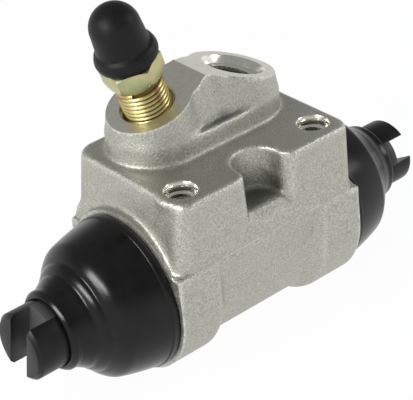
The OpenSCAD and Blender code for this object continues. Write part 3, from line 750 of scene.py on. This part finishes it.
def neck(start, end, steps):
    """Points of a boot's neck: steep behind the shoulder, easing towards the bead."""
    points = []
    for k in range(steps + 1):
        t = k / steps
        fall = 0.6 * math.sin(math.pi / 2 * t) + 0.4 * t
        points.append((start[0] + (end[0] - start[0]) * t, start[1] + (end[1] - start[1]) * fall))
    return points


def level(course, x):
    """The radius of a course of points at one place along it, running straight on past its ends."""
    k = sum(1 for p in course[1:-1] if p[0] < x)
    (x0, r0), (x1, r1) = course[k], course[k + 1]
    return r0 + (r1 - r0) * (x - x0) / (x1 - x0)


RIM = rounded([(24.65, 15.0), (24.65, 16.65), (26.15, 16.65), (26.3, 16.4), (26.8, 16.33)], 0.35)[:-1]
TIP = rounded([(42.5, 8.58), (43.75, 8.58), (44.55, 7.8), (44.55, 7.35)], 0.4)
WALL_START, WALL_RADIUS, WALL_LENGTH, WALL_STEPS = 26.8, 16.33, 15.55, 95
TAPER_LENGTH, TAPER_FALL, TAPER_SWELL, TAPER_STEPS = 8.3, 1.9, 0.15, 24
# the wall before its folds: a slightly swollen taper, then the neck
bare = []
for k in range(TAPER_STEPS + 1):
    swell = TAPER_SWELL * math.sin(math.pi * k / TAPER_STEPS)
    fallen = WALL_RADIUS - TAPER_FALL * k / TAPER_STEPS
    bare.append((WALL_START + TAPER_LENGTH * k / TAPER_STEPS, fallen + swell))
bare += neck((35.3, 14.36), (42.35, 8.6), 48)
lining = neck((34.05, 13.2), (41.15, 7.35), 14)[::-1]
for name, way, side, folds in (("left", against_bore, -1, LEFT_FOLDS), ("right", along_bore, 1, RIGHT_FOLDS)):
    wall = []
    for k in range(WALL_STEPS + 1):
        x = WALL_START + WALL_LENGTH * k / WALL_STEPS
        around = [level(bare, x + 0.2 * n) for n in range(-5, 6)]
        r = sum(around) / len(around)
        wall.append((x, r + sum(high * math.exp(-(((x - at) / wide) ** 2)) for at, high, wide in folds)))
    outside = RIM + wall + TIP
    inside = BEAD + lining + SEAT
    boot = turned(name + "_boot_moulded", outside + inside, way, 160, loop=True)
    boot.data.materials.append(rubber)
    edged(boot, 40)
    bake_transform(boot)
    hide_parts(name + "_boot")

# The bleeder screw: turned from hexagon bar, its thread rolled to M10 by 1, plated with zinc
# and passivated to a pale yellow that deepens to gold in the thread.
plated, nodes, links, shader = finish_nodes("yellow_zinc")
place = nodes.new("ShaderNodeTexCoord").outputs["Object"]
wash = noise(nodes, links, place, 260, 3.0, 0.6)
fine = noise(nodes, links, place, 2400, 2.0, 0.6)
YELLOWS = [(0.35, (0.39, 0.44, 0.25)), (0.5, (0.52, 0.49, 0.25)), (0.62, (0.50, 0.42, 0.29))]
tone = toned(nodes, links, wash, YELLOWS)
links.new(tone, shader.inputs["Base Color"])
shader.inputs["Metallic"].default_value = 1.0
links.new(ranged(nodes, links, fine, (0, 1), (0.26, 0.42)), shader.inputs["Roughness"])
skin = raised(nodes, links, fine, 0.2, 0.00003)
links.new(skin, shader.inputs["Normal"])

gold, nodes, links, shader = finish_nodes("gold_zinc")
place = nodes.new("ShaderNodeTexCoord").outputs["Object"]
wash = noise(nodes, links, place, 240, 2.0, 0.5)
GOLDS = [(0.36, (0.40, 0.24, 0.15)), (0.46, (0.62, 0.50, 0.20)), (0.7, (0.60, 0.52, 0.25))]
tone = toned(nodes, links, wash, GOLDS)
# painted shade: the colour darkens towards the root of the thread, by its distance from the screw's axis
from_axis = nodes.new("ShaderNodeVectorMath")
from_axis.operation = "SUBTRACT"
links.new(place, from_axis.inputs[0])
from_axis.inputs[1].default_value = on_bleeder.translation
swept = nodes.new("ShaderNodeVectorMath")
swept.operation = "CROSS_PRODUCT"
links.new(from_axis.outputs["Vector"], swept.inputs[0])
swept.inputs[1].default_value = on_bleeder.to_3x3().col[2].normalized()
radius = nodes.new("ShaderNodeVectorMath")
radius.operation = "LENGTH"
links.new(swept.outputs["Vector"], radius.inputs[0])
painted_root_shade = ranged(nodes, links, radius.outputs["Value"], (0.00448, 0.0048), (1, 0))
# painted shade, mixed in towards dark brown at the root
links.new(mixed(nodes, links, painted_root_shade, tone, (0.16, 0.10, 0.03)), shader.inputs["Base Color"])
shader.inputs["Metallic"].default_value = 1.0
links.new(ranged(nodes, links, wash, (0.3, 0.7), (0.3, 0.38)), shader.inputs["Roughness"])
skin = raised(nodes, links, wash, 0.05, 0.00002)
links.new(skin, shader.inputs["Normal"])

SHANK = [(-11.2, 0), (-11.2, 1.6), (-8.4, 4.4), (6.2, 4.4), (6.9, 4.4), (6.9, 0)]
shank = turned("bleeder_shank", SHANK, on_bleeder, 96)
shank.data.materials.append(gold)
edged(shank, 30)
HEX_ACROSS_FLATS, HEX_TURN = 11, 25
HEX_CORNER = HEX_ACROSS_FLATS / math.sqrt(3)
hex_angles = [math.radians(HEX_TURN + 60 * k) for k in range(6)]
corners = [(HEX_CORNER * math.cos(a), HEX_CORNER * math.sin(a)) for a in hex_angles]
hexagon = prism("bleeder_hexagon", corners, 6.3, 11.3, on_bleeder)
hexagon.data.materials.append(plated)
HEX_CHAMFERS = [(5.3, 0), (5.3, 4.0), (8.3, 6.5), (10.8, 6.5), (11.45, 5.35), (11.45, 0)]
cone = turned("tool", HEX_CHAMFERS, on_bleeder, 192)
cone.data.materials.append(plated)
cut(hexagon, cone, "INTERSECT")
bm = bmesh.new()
bm.from_mesh(hexagon.data)
bmesh.ops.remove_doubles(bm, verts=bm.verts, dist=2e-6)
bm.to_mesh(hexagon.data)
bm.free()
ease = hexagon.modifiers.new("ease", "BEVEL")
ease.width = 0.00012
ease.segments = 2
ease.limit_method = "ANGLE"
ease.angle_limit = math.radians(20)
settled(hexagon)
edged(hexagon, 30)
NIPPLE = [(11, 0), (11, 2.7), (15.3, 2.7), (15.8, 3.2), (17.4, 3.2)]
NIPPLE += [(20.7, 2.0), (20.7, 1.0), (-5, 1.0), (-5, 0)]
nipple = turned("bleeder_nipple", rounded(NIPPLE, 0.25), on_bleeder, 64)
nipple.data.materials.append(plated)
edged(nipple, 35)
ROLLED = {"Radius": 4.69, "Pitch": 1.0, "Length": 13.6}
ROLLED.update({"Depth": 0.6, "Inner Width": 0.98, "Outer Width": 0.34})
screw_thread = thread("bleeder_thread", on_bleeder, -7.8, ROLLED, gold, crease=75)
for piece in (shank, hexagon, nipple, screw_thread):
    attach(piece, "bleeder")
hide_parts("bleeder_screw")

# The dust cap: moulded black rubber with a domed top and a bulged lip, pushed over the
# bleeder's nipple, from which it is pulled off by hand.
dull, nodes, links, shader = finish_nodes("cap_rubber")
place = nodes.new("ShaderNodeTexCoord").outputs["Object"]
dust = noise(nodes, links, place, 1300, 3.0, 0.6)
tone = toned(nodes, links, dust, [(0.3, (0.006, 0.006, 0.006)), (0.7, (0.010, 0.010, 0.010))])
links.new(tone, shader.inputs["Base Color"])
shader.inputs["Specular IOR Level"].default_value = 0.2
links.new(ranged(nodes, links, dust, (0.3, 0.7), (0.42, 0.52)), shader.inputs["Roughness"])
skin = raised(nodes, links, dust, 0.1, 0.00003)
links.new(skin, shader.inputs["Normal"])
CAP_BORE = [(21.1, 0), (21.1, 2.2), (19.9, 3.4)]
CAP_LIP = [(11.5, 3.4), (11.5, 5.2), (11.9, 6.3), (13.2, 6.6), (14.6, 6.1), (15.1, 5.55), (15.3, 5.44)]
DOME, DOME_RADIUS = 19.55, 5.15
cap_wall = [(15.3 + 4.25 * k / 8, 5.44 - 0.29 * k / 8) for k in range(8)]
rises = [math.radians(a) for a in range(0, 90, 5)]
cap_dome = [(DOME + DOME_RADIUS * math.sin(a), DOME_RADIUS * math.cos(a)) for a in rises] + [(24.7, 0)]
cap_profile = CAP_BORE + rounded(CAP_LIP, 0.7)[:-1] + cap_wall + cap_dome
cap = turned("bleeder_cap_moulded", cap_profile, on_bleeder, 128)
cap.data.materials.append(dull)
edged(cap, 45)
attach(cap, "cap")
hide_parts("bleeder_cap")
